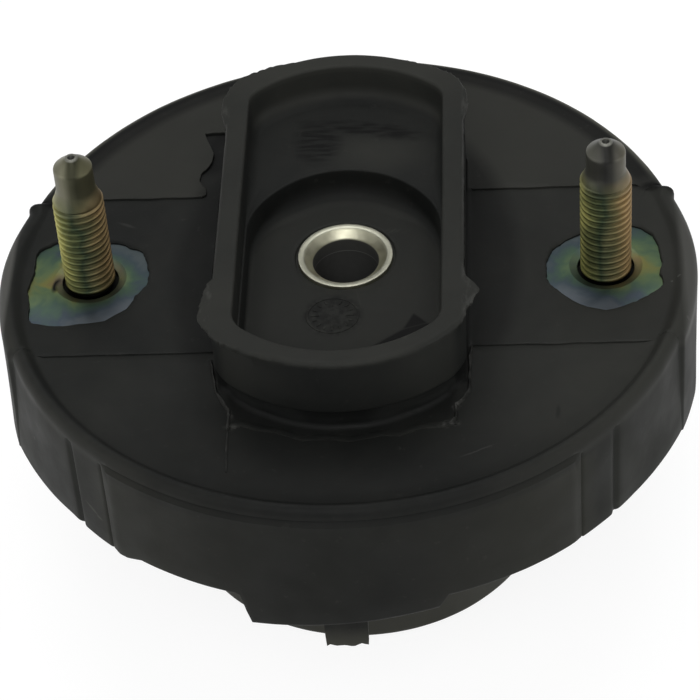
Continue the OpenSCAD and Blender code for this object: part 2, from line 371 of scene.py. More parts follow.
def collar_section(angle):
    """Over the collar's top with its flash, down the lip and into the undercut neck."""
    inner = pocket_wall(angle, 0) + WALL_DRAFT
    outer = pocket_wall(angle, COLLAR_WALL)
    undercut = 1 - smooth(NECK_HALF - NECK_FADE, NECK_HALF - 0.5, from_axis(angle))
    neck = lerp(outer, pocket_wall(angle, COLLAR_WALL - NECK_DEPTH), undercut)
    ear = ear_reach(angle)
    top = COLLAR_TOP
    edge = OUTER_EDGE * (1 - 0.7 * min(1, ear))
    ear_z = top - min(EAR_T, 0.35 + ear)
    out = arc(inner + INNER_EDGE, top - INNER_EDGE, INNER_EDGE, 180, 90, 4)[1:]
    to(out, outer + ear - edge, top, 4)
    out += arc(outer + ear - edge, top - edge, edge, 90, 0, 4)[1:]
    out += [(outer + 0.8 * ear, ear_z - 0.4 * edge), (outer, ear_z - edge - 0.3 * min(1, ear))]
    to(out, outer, LIP_Z + LIP_EDGE, 4)
    lip = arc(outer - LIP_EDGE, LIP_Z + LIP_EDGE, LIP_EDGE, 0, -90, 4)[1:]
    out += [(lerp(outer, r, undercut), z) for r, z in lip]
    out += [(neck + 0.3 * (outer - neck), LIP_Z)]
    return out + [(neck + undercut * neck_ridge(angle, z), z) for z in NECK_ROWS]


def neck_ridge(angle, z):
    """Wavy ridge of flash low on the undercut neck, wider towards the collar's corners."""
    middle = 1.9 + 0.7 * wave(5, angle * 0.13) + 0.3 * wave(6, angle * 0.5)
    size = 0.12 + 0.16 * wave(7, angle * 0.2) + 0.1 * wave(8, angle * 0.9)
    size += 0.14 * smooth(12, 24, from_axis(angle))
    return size * bell(z, middle, 0.5)


def seam_radius(angle):
    """Where the band meets the front or the rear sheet."""
    bay = table(BAY, angle)
    if bay:
        return bay + 0.25 * wave(8, angle * 1.1)
    run = abs(math.cos(math.radians(angle)))
    across = BAND_HALF * math.tan(math.radians(from_axis(angle)))
    half = BAND_HALF + SEAM_WOBBLE * wave(9 if angle > 0 else 10, across * 0.16, abs(angle) // 90)
    return half / max(run, 1e-6)


def in_window(angle):
    return abs(abs(angle) - 90) <= WINDOW_HALF + 1e-6


def inner_level(angle):
    """Height of the face between collar and seam: the band, or the floor of the torn bay."""
    if not table(BAY, angle):
        return BAND_Z
    return lerp(BAY_Z, BAND_Z, smooth(BAY[-1][0] - BAY_SLOPE, BAY[-1][0], angle))


def face_section(angle, start):
    """Across the disc's face: band, seam and the front or rear sheet up to the bead."""
    on_band = from_axis(angle) > BAND_ANGLE
    sheet_z = REAR_Z if abs(angle) > 90 else FRONT_Z
    face_z = BAND_Z if on_band else sheet_z
    end = rim_radius(angle) - rim_foot(angle)
    foot = start + COLLAR_FOOT
    seam = min(max(seam_radius(angle), foot), end)
    inner_z = inner_level(angle) if seam > foot + 0.05 else sheet_z
    outer_z = face_z if seam < end - 0.05 else BAND_Z
    step = inner_z != outer_z
    dip = SEAM_DIP if step else 0
    out = arc(foot, inner_z + COLLAR_FOOT, COLLAR_FOOT, 180, 270, 4)[1:]
    if in_window(angle):
        out += [(lerp(foot, WINDOW_IN, 0.5), inner_z)]
        out += [(lerp(WINDOW_IN, WINDOW_OUT, k / WINDOW_ROWS), inner_z) for k in range(WINDOW_ROWS + 1)]
    else:
        count = WINDOW_ROWS + 3
        out += [(lerp(foot, seam, k / count), inner_z) for k in range(1, count)]
    side = min(0.25, 0.45 * (seam - foot), 0.45 * (end - seam)) if step else 0
    out += [(seam - side, inner_z), (seam - 0.1 * side, inner_z - dip)]
    out += [(seam + 0.1 * side, outer_z - dip), (seam + side, outer_z)]
    out += [(lerp(seam + side, end, k / 7), outer_z) for k in range(1, 7)]
    return out, outer_z


def rim_radius(angle):
    """Outside of the rim, where the band's ends stand out, less so towards the rear."""
    lug = smooth(LUG_ANGLE - LUG_SLOPE, LUG_ANGLE + LUG_SLOPE, from_axis(angle))
    if abs(angle) < 90:
        return lerp(RIM_R, BAND_R, lug)
    band = lerp(BAND_R, REAR_LUG_R, smooth(90, 180 - LUG_ANGLE, abs(angle))) + CURL_OUT * curl(angle)
    return lerp(REAR_R, band, lug)


def curl(angle):
    """1 where the band's rim curls up against the rear seam, 0 elsewhere."""
    return bell(abs(angle), CURL_ANGLE, CURL_HALF)


def rim_top(angle):
    """Height of the rim, flatter along the rear sheet."""
    return lerp(RIM_TOP, REAR_RIM_TOP, smooth(98, 180 - LUG_ANGLE, abs(angle))) + CURL_UP * curl(angle)


def rim_foot(angle):
    """Distance from the rim's outside to where it starts to rise from the face."""
    if from_axis(angle) > BAND_ANGLE:
        return min(RIM_FOOT, rim_radius(angle) - WINDOW_OUT - 0.3)
    return SECTOR_FOOT


def wall_radius(angle):
    """Outside of the skirt below the rim, with panels, cracks and grooves."""
    a = from_axis(angle)
    wall = lerp(PANEL_R, rim_radius(angle), smooth(PANEL_HALF - PANEL_FADE, PANEL_HALF, a))
    groove = GROOVE_DEPTH * bell(a, GROOVE_ANGLE, GROOVE_HALF)
    crack = CRACK_DEPTH * bell(a, PANEL_HALF, CRACK_HALF)
    return wall - groove - crack


def foot_height(angle):
    """Lower edge of the skirt, with the tab at the front."""
    a = from_axis(angle)
    if a > LUG_ANGLE:
        return BAND_FOOT_Z
    if abs(angle) < 90:
        return table(FRONT_FOOT, angle)
    return PANEL_Z if a < PANEL_HALF else SKIRT_Z


def rim_section(angle, face_z):
    """Over the soft rim, down the skirt and up its inside."""
    rim, wall, foot, top = rim_radius(angle), wall_radius(angle), foot_height(angle), rim_top(angle)
    edge = SKIRT_EDGE
    tab = 1 - smooth(TAB_HALF - TAB_SLOPE, TAB_HALF + TAB_SLOPE, abs(angle))
    inner = lerp(SKIRT_INNER_R, TAB_INNER_R, tab)
    start = rim_foot(angle)
    crest = RIM_CREST if from_axis(angle) > BAND_ANGLE else SECTOR_CREST
    out = [(rim - lerp(start, crest, k / 6), lerp(face_z, top, smooth(0, 6, k))) for k in range(6)]
    quarter = [math.pi / 2 * k / 5 for k in range(6)]
    out += [(rim - crest * (1 - math.sin(a)), top * math.cos(a)) for a in quarter]
    out += [(rim - PANEL_QUIRK * max(0, wall - rim), PANEL_TOP + 0.2)]
    out += [(lerp(rim, wall, f), PANEL_TOP - PANEL_RISE * f) for f in (0, 0.5, 1)]
    low, wall_top = wall + table(FLARE, angle), PANEL_TOP - PANEL_RISE
    shares = [k / WALL_ROWS for k in range(1, WALL_ROWS + 1)]
    out += [(lerp(wall, low, f ** 1.3), lerp(wall_top, foot + edge, f)) for f in shares]
    out += arc(low - edge, foot + edge, edge, 0, -90, 4)[1:]
    out += arc(inner + edge, foot + edge, edge, -90, -180, 3)
    out += [(inner, foot + edge + 1), (SKIRT_INNER_R, foot + edge + 1.6), (SKIRT_INNER_R, -15)]
    return out


def under_section():
    """Spring channel, boss, cavity and the underside of the web."""
    out = arc(SKIRT_INNER_R - ROOT_R, SEAT_Z - ROOT_R, ROOT_R, 0, 90, 5)
    to(out, BOSS_R + ROOT_R, SEAT_Z, 3)
    out += arc(BOSS_R + ROOT_R, SEAT_Z - ROOT_R, ROOT_R, 90, 180, 5)[1:]
    to(out, BOSS_R, BOSS_Z + BOSS_EDGE, 5)
    out += arc(BOSS_R - BOSS_EDGE, BOSS_Z + BOSS_EDGE, BOSS_EDGE, 0, -90, 4)[1:]
    out += arc(CAVITY_R + BOSS_EDGE, BOSS_Z + BOSS_EDGE, BOSS_EDGE, -90, -180, 4)
    to(out, CAVITY_R, WEB_Z, 4)
    to(out, SLEEVE_R, WEB_Z, 3)
    return out


def rubber_profile(angle):
    """Closed profile at an angle, and the row where the face's window starts."""
    out = pocket_section(angle) + collar_section(angle)
    window_row = len(out) + 5
    face, face_z = face_section(angle, out[-1][0])
    out += face + rim_section(angle, face_z) + under_section()
    return out, window_row


def sample_angles():
    """Even steps, with a close pair on each side of every sharp change."""
    sharp = [e + d for e in (BAND_ANGLE, NECK_HALF) for d in (-STEP_EDGE, STEP_EDGE)]
    sharp += [PANEL_HALF + 0.2 * k for k in range(-2, 3)] + [GROOVE_ANGLE + 0.3 * k for k in range(-4, 5)]
    sharp += [LUG_ANGLE + 0.25 * k for k in range(-2, 3)]
    fixed = [s * b for a in sharp for b in (a, 180 - a) for s in (-1, 1)]
    fixed += [s * (CURL_ANGLE + 0.35 * k) for k in range(-6, 2) for s in (-1, 1)]
    fixed += [e + d for e in (BAY[0][0], BAY[-1][0]) for d in (-STEP_EDGE, STEP_EDGE)]
    fixed += [s * (90 + d) for s in (-1, 1) for d in (-WINDOW_HALF, WINDOW_HALF)]
    even = [-180 + 360 * k / ANGLE_STEPS for k in range(ANGLE_STEPS)]
    return sorted(fixed + [a for a in even if min(abs(a - f) for f in fixed) > 0.2])


def spot(angle, r, z):
    """Place at an angle from the front, a distance from the axis and a height."""
    a = math.radians(angle)
    return Vector((r * math.sin(a), -r * math.cos(a), z))


def add_grid(bm, columns, closed_round, closed_along, skip=None):
    """Faces over columns of points; returns the vertices."""
    grid = [[bm.verts.new(p) for p in column] for column in columns]
    count, rows = len(grid), len(grid[0])
    for k in range(count if closed_round else count - 1):
        for j in range(rows if closed_along else rows - 1):
            if skip and skip(k, j):
                continue
            n, m = (k + 1) % count, (j + 1) % rows
            bm.faces.new((grid[k][j], grid[n][j], grid[n][m], grid[k][m]))
    return grid


def add_bar(bm, columns):
    """Tube over columns of points, closed at both ends."""
    grid = add_grid(bm, columns, False, True)
    bm.faces.new(grid[0])
    bm.faces.new(grid[-1])


def patch_radius(outline, turn, seed):
    """Distance from a stud's axis to the ragged edge in a direction."""
    ux, uy = math.cos(turn), math.sin(turn)
    best = 0
    for (x0, y0), (x1, y1) in zip(outline, outline[1:] + outline[:1]):
        cross = ux * (y1 - y0) - uy * (x1 - x0)
        if abs(cross) < 1e-9:
            continue
        along = (x0 * (y1 - y0) - y0 * (x1 - x0)) / cross
        f = (ux * y0 - uy * x0) / -cross
        if along > 0 and -1e-9 <= f <= 1 + 1e-9:
            best = max(best, along)
    return best + 0.15 * wave(seed, turn * 5) + 0.2 * wave(seed + 1, turn * 14)


def set_in_patch(bm, loop, stud, outline, seed):
    """Fills a window up to the ragged edge, with a wall there down into the plate."""
    rings = [loop]
    turns = [math.atan2(v.co.y - stud.y, v.co.x - stud.x) for v in loop]
    levels = [(0.25, BAND_Z), (0.5, BAND_Z), (0.72, BAND_Z), (0.86, BAND_Z - 0.04), (0.95, 0.6),
              (1, PATCH_SKIN), (1.003, 0.05), (1.003, PATCH_SINK)]
    for f, z in levels:
        ring = []
        for v, turn in zip(loop, turns):
            r = patch_radius(outline, turn, seed)
            edge = Vector((stud.x + r * math.cos(turn), stud.y + r * math.sin(turn), 0))
            place = v.co.lerp(edge, f)
            place.z = z + (0.1 * wave(seed + 2, turn * 2.4) if f == 1 else 0)
            ring.append(bm.verts.new(place))
        rings.append(ring)
    for a, b in zip(rings, rings[1:]):
        for k in range(len(a)):
            n = (k + 1) % len(a)
            bm.faces.new((a[k], a[n], b[n], b[k]))
    bm.faces.new(rings[-1])


def add_ridge(bm, points, height, width, seed):
    """Thin fin of flash along a line on the face."""
    path = []
    for (x0, y0), (x1, y1) in zip(points, points[1:]):
        steps = max(2, round(math.hypot(x1 - x0, y1 - y0) / FLASH_STEP))
        path += [Vector((lerp(x0, x1, k / steps), lerp(y0, y1, k / steps), FRONT_Z)) for k in range(steps)]
    path.append(Vector((*points[-1], FRONT_Z)))
    columns = []
    for k, p in enumerate(path):
        ahead = path[min(k + 1, len(path) - 1)] - path[max(k - 1, 0)]
        side = Vector((-ahead.y, ahead.x, 0)).normalized()
        fade = min(1, 0.1 + 0.4 * min(k, len(path) - 1 - k))
        tall = fade * height * (1 + 0.45 * wave(seed, k * 0.23) + 0.25 * wave(seed + 1, k * 0.7))
        lean = side * 0.25 * wave(seed + 2, k * 0.19)
        half = side * width / 2 * (0.6 + 0.4 * fade)
        up = Vector((0, 0, 1))
        columns.append([p - half - up * 0.4, p - half * 0.8 + up * 0.1, p - half * 0.25 + lean + up * tall,
                        p + half * 0.25 + lean + up * tall, p + half * 0.8 + up * 0.1, p + half - up * 0.4])
    add_bar(bm, columns)


def add_tag(bm):
    """Tongue of flash that hangs from the front tab."""
    front, top = -PANEL_R + SKIRT_EDGE, TAB_Z + 2
    back = front + TAG_T
    columns = []
    for k in range(TAG_STEPS + 1):
        x = lerp(-TAG_HALF, TAG_HALF, k / TAG_STEPS)
        low = TAB_Z - TAG_DROP * (0.93 + 0.07 * wave(31, k * 0.6))
        face = front + 0.25 * wave(32, k * 0.5)
        corners = [(x, face, top), (x, face, lerp(TAB_Z, low, 0.5)), (x * 0.97, face + 0.2, low + 0.3),
                   (x * 0.96, front + 0.8, low), (x * 0.97, back - 0.3, low + 0.4), (x, back, top)]
        columns.append([Vector(corner) for corner in corners])
    add_bar(bm, columns)


def add_emblem(bm):
    """Plain moulded mark on the pocket's floor: a ring with short ticks inside."""
    centre = Vector((*EMBLEM_AT, FLOOR_Z - RIPPLE))
    ring = [(5.2, -0.1), (5.1, EMBLEM_TALL), (4.75, EMBLEM_TALL), (4.65, -0.1)]
    turns = [math.tau * k / EMBLEM_STEPS for k in range(EMBLEM_STEPS)]
    columns = [[centre + Vector((r * math.cos(a), r * math.sin(a), z)) for r, z in ring] for a in turns]
    add_grid(bm, columns, True, True)
    tick = [(-0.2, -0.1), (-0.14, EMBLEM_TALL), (0.14, EMBLEM_TALL), (0.2, -0.1)]
    for k in range(EMBLEM_TICKS):
        a = math.tau * k / EMBLEM_TICKS
        along, across = Vector((math.cos(a), math.sin(a), 0)), Vector((-math.sin(a), math.cos(a), 0))
        ends = [centre + along * r for r in (2.6 if k % 4 == 0 else 3.3, 4.2)]
        add_bar(bm, [[end + across * w + Vector((0, 0, z)) for w, z in tick] for end in ends])


def ripple(bm):
    """Slight unevenness of the moulded surface, always inwards."""
    bmesh.ops.remove_doubles(bm, verts=bm.verts, dist=2e-4)
    bmesh.ops.recalc_face_normals(bm, faces=bm.faces)
    bm.normal_update()
    for v in bm.verts:
        n = noise.noise(v.co * 0.11) * 0.6 + noise.noise(v.co * 0.31) * 0.4
        v.co -= v.normal * RIPPLE * (1 + n)


def finish_mesh(bm, name, smooth_angle=38):
    """Turns millimetres into metres and makes an object."""
    bmesh.ops.remove_doubles(bm, verts=bm.verts, dist=2e-4)
    bmesh.ops.dissolve_degenerate(bm, edges=bm.edges, dist=1e-4)
    bmesh.ops.recalc_face_normals(bm, faces=bm.faces)
    bmesh.ops.scale(bm, vec=(MM, MM, MM), verts=bm.verts)
    mesh = bpy.data.meshes.new(name)
    bm.to_mesh(mesh)
    bm.free()
    mesh.shade_smooth()
    mesh.set_sharp_from_angle(angle=math.radians(smooth_angle))
    piece = bpy.data.objects.new(name, mesh)
    scene.collection.objects.link(piece)
    return piece


def make_rubber():
    angles = sample_angles()
    columns = []
    for angle in angles:
        profile, window_row = rubber_profile(angle)
        columns.append([spot(angle, r, z) for r, z in profile])
    inside = [in_window(a) for a in angles]

    def skip(k, j):
        n = (k + 1) % len(angles)
        in_rows = window_row <= j < window_row + WINDOW_ROWS
        return in_rows and inside[k] and inside[n] and angles[k] * angles[n] > 0

    bm = bmesh.new()
    grid = add_grid(bm, columns, True, True, skip)
    low, high = window_row, window_row + WINDOW_ROWS
    for sign, outline, seed in ((-1, LEFT_PATCH, 40), (1, RIGHT_PATCH, 50)):
        across = [k for k in range(len(angles)) if inside[k] and angles[k] * sign > 0]
        loop = [grid[k][low] for k in across]
        loop += [grid[across[-1]][j] for j in range(low + 1, high)]
        loop += [grid[k][high] for k in reversed(across)]
        loop += [grid[across[0]][j] for j in range(high - 1, low, -1)]
        set_in_patch(bm, loop, Vector((sign * STUD_X, 0, 0)), outline, seed)
    ripple(bm)
    for fin in FLASH:
        add_ridge(bm, *fin)
    add_tag(bm)
    add_emblem(bm)
    return finish_mesh(bm, "rubber_moulding")


def thread_radius(phase, z, top):
    """Rolled thread: flat crest, round root, fading out at both ends."""
    p = abs((phase % 1) - 0.5) * 2
    depth = THREAD_DEPTH * smooth(0.25, 0.95, p)
    ends = smooth(THREAD_FOOT, THREAD_FOOT + 0.8, z) * (1 - smooth(top - 1.0, top, z))
    return THREAD_R - depth * ends - THREAD_END * smooth(top - 0.6, top, z)


def stud_column(turn, top, point_z):
    """Profile of a stud at a turn, with the helix of its thread."""
    turns = math.ceil((top - THREAD_FOOT) / THREAD_PITCH) + 1
    out = [(0.01, STUD_FOOT), (HEAD_R - 0.4, STUD_FOOT), (HEAD_R, STUD_FOOT + 0.4), (HEAD_R, PLATE_FOOT),
           (SHANK_R, PLATE_FOOT), (SHANK_R, SHOULDER_Z), (RELIEF_R, SHOULDER_Z), (RELIEF_R, RELIEF_TOP)]
    for k in range((turns + 1) * THREAD_ROWS + 1):
        z = THREAD_FOOT + THREAD_PITCH * (k / THREAD_ROWS + turn / math.tau - 1)
        z = min(max(z, THREAD_FOOT), top)
        out.append((thread_radius(k / THREAD_ROWS, z, top), z))
    out += [(lerp(THREAD_R - THREAD_END, POINT_R, f), lerp(top, point_z, f)) for f in (0.3, 0.6, 0.85)]
    out += [(POINT_R, point_z + 0.4), (POINT_R, lerp(point_z, TIP_Z, 0.5)), (POINT_R, TIP_Z - 0.5)]
    out += arc(POINT_R - 0.8, TIP_Z - 0.5, 0.8, 0, 50, 4)[1:]
    out += [(TIP_R + 0.1, STUD_TOP - 0.25), (TIP_R, STUD_TOP - 0.1), (TIP_R - 0.12, STUD_TOP)]
    out += [(MARK_R, STUD_TOP), (MARK_R - 0.1, STUD_TOP - 0.15), (0.01, STUD_TOP - 0.8)]
    return out


def make_studs():
    bm = bmesh.new()
    for sign in (-1, 1):
        columns = []
        for k in range(STUD_STEPS + 1):
            turn = math.tau * k / STUD_STEPS
            ux, uy = math.cos(turn + sign), math.sin(turn + sign)
            profile = stud_column(turn, *STUD_ENDS[sign])
            columns.append([Vector((sign * STUD_X + r * ux, r * uy, z)) for r, z in profile])
        grid = add_grid(bm, columns, False, False)
        for row in (0, -1):
            bm.faces.new([column[row] for column in grid[:-1]])
    return finish_mesh(bm, "threaded_studs", 50)


def sleeve_profile():
    """Turned section of the sleeve: outside, lip, round mouths, land and relieved bore."""
    mouth = BORE_R + MOUTH_R
    e = SLEEVE_EDGE
    throat = SLEEVE_TOP - MOUTH_R
    land = throat - LAND_DEPTH
    low_land = SLEEVE_FOOT + MOUTH_R + LAND_DEPTH
    out = [(SLEEVE_R, SLEEVE_FOOT + e), (SLEEVE_R, -10), (SLEEVE_R, SLEEVE_TOP - e)]
    out += arc(SLEEVE_R - e, SLEEVE_TOP - e, e, 0, 90, 4)[1:]
    out += [(mouth + 0.25, SLEEVE_TOP), (mouth + 0.05, SLEEVE_TOP - 0.1)]
    to(out, BORE_R + 0.2, throat + 0.2, 4)
    out += [(BORE_R + 0.04, throat), (BORE_R, throat - 0.25)]
    out += [(BORE_R, land + 0.1), (BORE_R + 0.1, land), (BORE_R + BORE_RELIEF, land - 0.1)]
    out += [(BORE_R + BORE_RELIEF, low_land), (BORE_R, low_land - 0.2)]
    out += arc(mouth, SLEEVE_FOOT + MOUTH_R, MOUTH_R, 180, 270, 6)
    out += [(SLEEVE_R - e, SLEEVE_FOOT)]
    return out


def make_sleeve():
    bm = bmesh.new()
    profile = sleeve_profile()
    columns = [[spot(360 * k / SLEEVE_STEPS, r, z) for r, z in profile] for k in range(SLEEVE_STEPS)]
    add_grid(bm, columns, True, True)
    return finish_mesh(bm, "turned_sleeve", 30)


class Nodes:
    """Nodes of a new material or world."""

    def __init__(self, owner):
        owner.use_nodes = True
        self.nodes, self.links = owner.node_tree.nodes, owner.node_tree.links

    def add(self, kind, inputs=None, **settings):
        """New node with its settings and inputs."""
        node = self.nodes.new("ShaderNode" + kind)
        for key, value in settings.items():
            setattr(node, key, value)
        for key, value in (inputs or {}).items():
            self.put(node.inputs[key], value)
        return node

    def put(self, socket, value):
        """Links or sets a socket; a colour may leave out its alpha."""
        if isinstance(value, bpy.types.NodeSocket):
            self.links.new(value, socket)
        elif socket.type == "RGBA" and len(value) == 3:
            socket.default_value = (*value, 1)
        else:
            socket.default_value = value

    def vector(self, operation, a, b):
        return self.add("VectorMath", {0: a, 1: b}, operation=operation).outputs[0]

    def math(self, operation, a, b=0.0):
        return self.add("Math", {0: a, 1: b}, operation=operation).outputs[0]

    def size(self, value):
        """Value without its sign."""
        return self.math("ABSOLUTE", value)

    def range(self, value, low, high, to_low=0.0, to_high=1.0):
        """Value carried from one span to another and held at its ends."""
        inputs = {"Value": value, "From Min": low, "From Max": high, "To Min": to_low, "To Max": to_high}
        return self.add("MapRange", inputs).outputs[0]

    def outside(self, mask):
        """1 where a mask is 0, and 0 where it is 1."""
        return self.range(mask, 1, 0)

    def chain(self, operation, values):
        total = values[0]
        for value in values[1:]:
            total = self.math(operation, total, value)
        return total

    def sum(self, *values):
        return self.chain("ADD", values)

    def both(self, *masks):
        return self.chain("MULTIPLY", masks)

    def most(self, *masks):
        return self.chain("MAXIMUM", masks)


class Shader(Nodes):
    """A material's nodes, with the object's own coordinates in millimetres."""

    def __init__(self, name):
        self.material = bpy.data.materials.new(name)
        super().__init__(self.material)
        self.bsdf = self.nodes["Principled BSDF"]
        self.place = self.vector("MULTIPLY", self.add("TexCoord").outputs["Object"], (1 / MM,) * 3)
        self.x, self.y, self.z = self.add("SeparateXYZ", {0: self.place}).outputs

    def noise(self, size, detail=2.0, rough=0.5, place=None, warp=0.0):
        """Noise from 0 to 1 with features of about a size in millimetres."""
        inputs = {"Vector": place or self.place, "Scale": 1 / size, "Detail": detail, "Roughness": rough,
                  "Distortion": warp}
        return self.add("TexNoise", inputs).outputs["Fac"]

    def ragged(self, size, reach):
        """The place, pushed about by noise of a size, for uneven edges."""
        push = self.add("TexNoise", {"Vector": self.place, "Scale": 1 / size, "Detail": 3.0})
        centred = self.vector("SUBTRACT", push.outputs["Color"], (0.5,) * 3)
        return self.vector("ADD", self.place, self.vector("MULTIPLY", centred, (2 * reach,) * 3))

    def blob(self, centre, radii, turn=0.0, soft=0.3, place=None):
        """1 inside an ellipse seen from above, fading out across its edge."""
        inputs = {"Vector": place or self.place, "Location": (*centre, 0),
                  "Rotation": (0, 0, math.radians(turn)), "Scale": (*radii, 1 / MM)}
        node = self.add("Mapping", inputs, vector_type="TEXTURE")
        far = self.add("VectorMath", {0: node.outputs[0]}, operation="LENGTH")
        return self.range(far.outputs["Value"], 1 + soft, 1 - soft)

    def disc(self, radius, soft):
        """1 within a distance of the rod's axis."""
        return self.blob((0, 0), (radius, radius), 0, soft)

    def stroke(self, a, b, width):
        """1 along a short line seen from above."""
        middle = ((a[0] + b[0]) / 2, (a[1] + b[1]) / 2)
        run = math.hypot(b[0] - a[0], b[1] - a[1])
        turn = math.degrees(math.atan2(b[1] - a[1], b[0] - a[0]))
        return self.blob(middle, (run / 2, width / 2), turn, 0.5, self.ragged(1.5, 0.25))

    def slab(self, low, high, soft):
        """1 between two heights."""
        return self.both(self.range(self.z, low - soft, low), self.range(self.z, high + soft, high))

    def far(self, x, y):
        return self.math("SQRT", self.sum(self.both(x, x), self.both(y, y)))

    def beside_stud(self):
        """How far to the right of the nearer stud's axis."""
        return self.math("SUBTRACT", self.x, self.both(self.math("SIGN", self.x), STUD_X))

    def from_stud(self):
        """Distance from the nearer stud's axis."""
        return self.far(self.math("SUBTRACT", self.size(self.x), STUD_X), self.y)

    def polygon(self, corners, soft=0.25):
        """1 inside a convex outline seen from above, its corners listed anticlockwise."""
        masks = []
        for (x0, y0), (x1, y1) in zip(corners, corners[1:] + corners[:1]):
            run = math.hypot(x1 - x0, y1 - y0)
            nx, ny = (y0 - y1) / run, (x1 - x0) / run
            inside = self.sum(self.both(self.x, nx), self.both(self.y, ny), -(x0 * nx + y0 * ny))
            masks.append(self.range(inside, -soft, soft))
        return self.both(*masks)

    def stretched(self, *by):
        """The place, scaled along each axis, for streaks."""
        return self.vector("MULTIPLY", self.place, by)

    def unrolled(self):
        """Place on the skirt, unrolled: distance round from the front and height."""
        round_by = self.both(self.math("ARCTAN2", self.x, self.both(self.y, -1.0)), RIM_R)
        return self.add("CombineXYZ", {0: round_by, 1: self.z}).outputs[0]

    def mix(self, factor, a, b, blend="MIX"):
        return self.add("Mix", {0: factor, 6: a, 7: b}, data_type="RGBA", blend_type=blend).outputs[2]

    def ramp(self, value, stops):
        node = self.add("ValToRGB", {0: value})
        band = node.color_ramp
        while len(band.elements) < len(stops):
            band.elements.new(0.5)
        for element, (at, colour) in zip(band.elements, stops):
            element.position = at
            element.color = (*colour, 1)
        return node.outputs[0]

    def bump(self, heights):
        """Chain of bumps: each a height and its depth in millimetres."""
        normal = None
        for height, depth in heights:
            node = self.add("Bump", {"Height": height, "Distance": depth * MM, "Strength": 1.0})
            if normal:
                self.put(node.inputs["Normal"], normal)
            normal = node.outputs[0]
        self.put(self.bsdf.inputs["Normal"], normal)

    def paint(self, mask, colour, blend="MIX"):
        """Lays a colour over what is there."""
        self.colour = self.mix(mask, self.colour, colour, blend)

    def finish(self, roughness, **fixed):
        self.put(self.bsdf.inputs["Base Color"], self.colour)
        self.put(self.bsdf.inputs["Roughness"], roughness)
        for key, value in fixed.items():
            self.bsdf.inputs[key.replace("_", " ")].default_value = value
        return self.material


# Colours of the rubber
BLACK = (0.01, 0.011, 0.0106)
# Grey bloom, also used for painted light where the rubber is lightened
BLOOM_AND_PAINTED_LIGHT = (0.0296, 0.0302, 0.0264)
# Dark stains, also used for painted shade
STAIN_AND_SHADE = (0.0025, 0.0027, 0.0027)
SPECK = (0.034, 0.034, 0.031)
SCRATCH = (0.075, 0.075, 0.07)
# Painted light on the boss, which lies in shade
BOSS_PAINTED_LIGHT = (0.055, 0.055, 0.05)
# Painted highlight on the rim at the band's ends
END_RIM_HIGHLIGHT = (0.085, 0.085, 0.079)
# Painted highlight on the rear rim's outer edge
REAR_RIM_HIGHLIGHT = (0.085, 0.085, 0.068)
SKIRT_TINT = (1.02, 1.02, 0.93)

# Marks on the rubber seen from above: lines as ends and width, spots as place, radii and turn
SCRATCHES = [((-46.4, 16), (-43.4, 14.4), 0.7), ((22.7, -52.5), (28.2, -49.8), 0.3)]
SPECKS = [((65, -5.5), (0.35, 0.3)), ((66.1, -17.4), (0.3, 0.4)), ((63.6, -6.2), (0.25, 0.25))]
PALE_FLASH = [
    ((24.5, -23.5), (24.1, -36), 1), ((24, -36), (21.4, -40), 1), ((21.6, -39), (20.6, -44), 1),
    ((-25.3, -25), (-23.6, -35), 1), ((-23.8, -34), (-21, -40), 1), ((-21.1, -39.5), (-20.8, -55), 0.6),
]
KNOTS = [
    ((20.4, -43.9), (1.7, 0.8), 10), ((-20.4, -43.6), (1.2, 0.7), 0), ((-20.8, -40), (0.7, 1.2), 0),
    ((21.6, -39.6), (0.6, 1.2), 0),
]
# Scuffs on the unrolled skirt
SCUFFS = [
    ((-53.6, -15.8), (1.6, 0.35), -24), ((-51.6, -17), (0.7, 0.3), -10), ((-74, -12.6), (0.4, 0.35), 0),
]
# Dark wedge on the pocket's floor, in two convex pieces, and the torn sheet at the collar's foot, where
# shade is painted
WEDGE_TIP = [(13.6, -17.3), (11.6, -21.7), (16.2, -20.1)]
WEDGE = [(11.6, -21.7), (5.9, -26.2), (13.5, -26), (18.5, -21), (16.2, -20.1)]
TORN_SHEET = [
    (-20, -42.4), (-12, -45.2), (-2.5, -47.2), (6, -46.7), (20.5, -43.6), (22, -36), (22.4, -30),
    (-22.4, -30), (-22, -36),
]
# Heights between which the boss is lightened with painted light, and spans of height on the collar, with
# their softness
BOSS_FADE = (-29, -34)
SIDE_SPAN = (LIP_Z + 0.8, COLLAR_TOP - 1.1, 0.5)
FRONT_SPAN = (LIP_Z + 0.8, COLLAR_TOP - 1.3, 0.5)
EDGE_SPAN = (COLLAR_TOP - 1.5, COLLAR_TOP, 0.3)
REAR_SPAN = (SHELF_Z + 1, COLLAR_TOP - 1.1, 0.8)
SHELF_SPAN = (SHELF_Z - 0.7, SHELF_Z + 0.6, 0.2)
RECESS_SPAN = (FLOOR_Z + 1.7, SHELF_Z - 0.6, 0.8)

# Colours of a yellow passivation film as it thickens; across a stud's thread, with painted light on its
# sides and painted shade in front; and across the points, with painted light and painted shade the same way
FILM = [(0.0, (0.085, 0.103, 0.108)), (0.2, (0.06, 0.081, 0.093)), (0.42, (0.07, 0.114, 0.08)),
        (0.62, (0.118, 0.168, 0.086)), (0.8, (0.19, 0.185, 0.065)), (1.0, (0.19, 0.14, 0.075))]
THREAD_FILM_LIT_AND_SHADED = [(0.0, (0.58, 0.55, 0.19)), (0.25, (0.21, 0.22, 0.09)), (0.5, (0.042, 0.06, 0.036)),
               (0.7, (0.14, 0.13, 0.065)), (1.0, (0.36, 0.25, 0.12))]
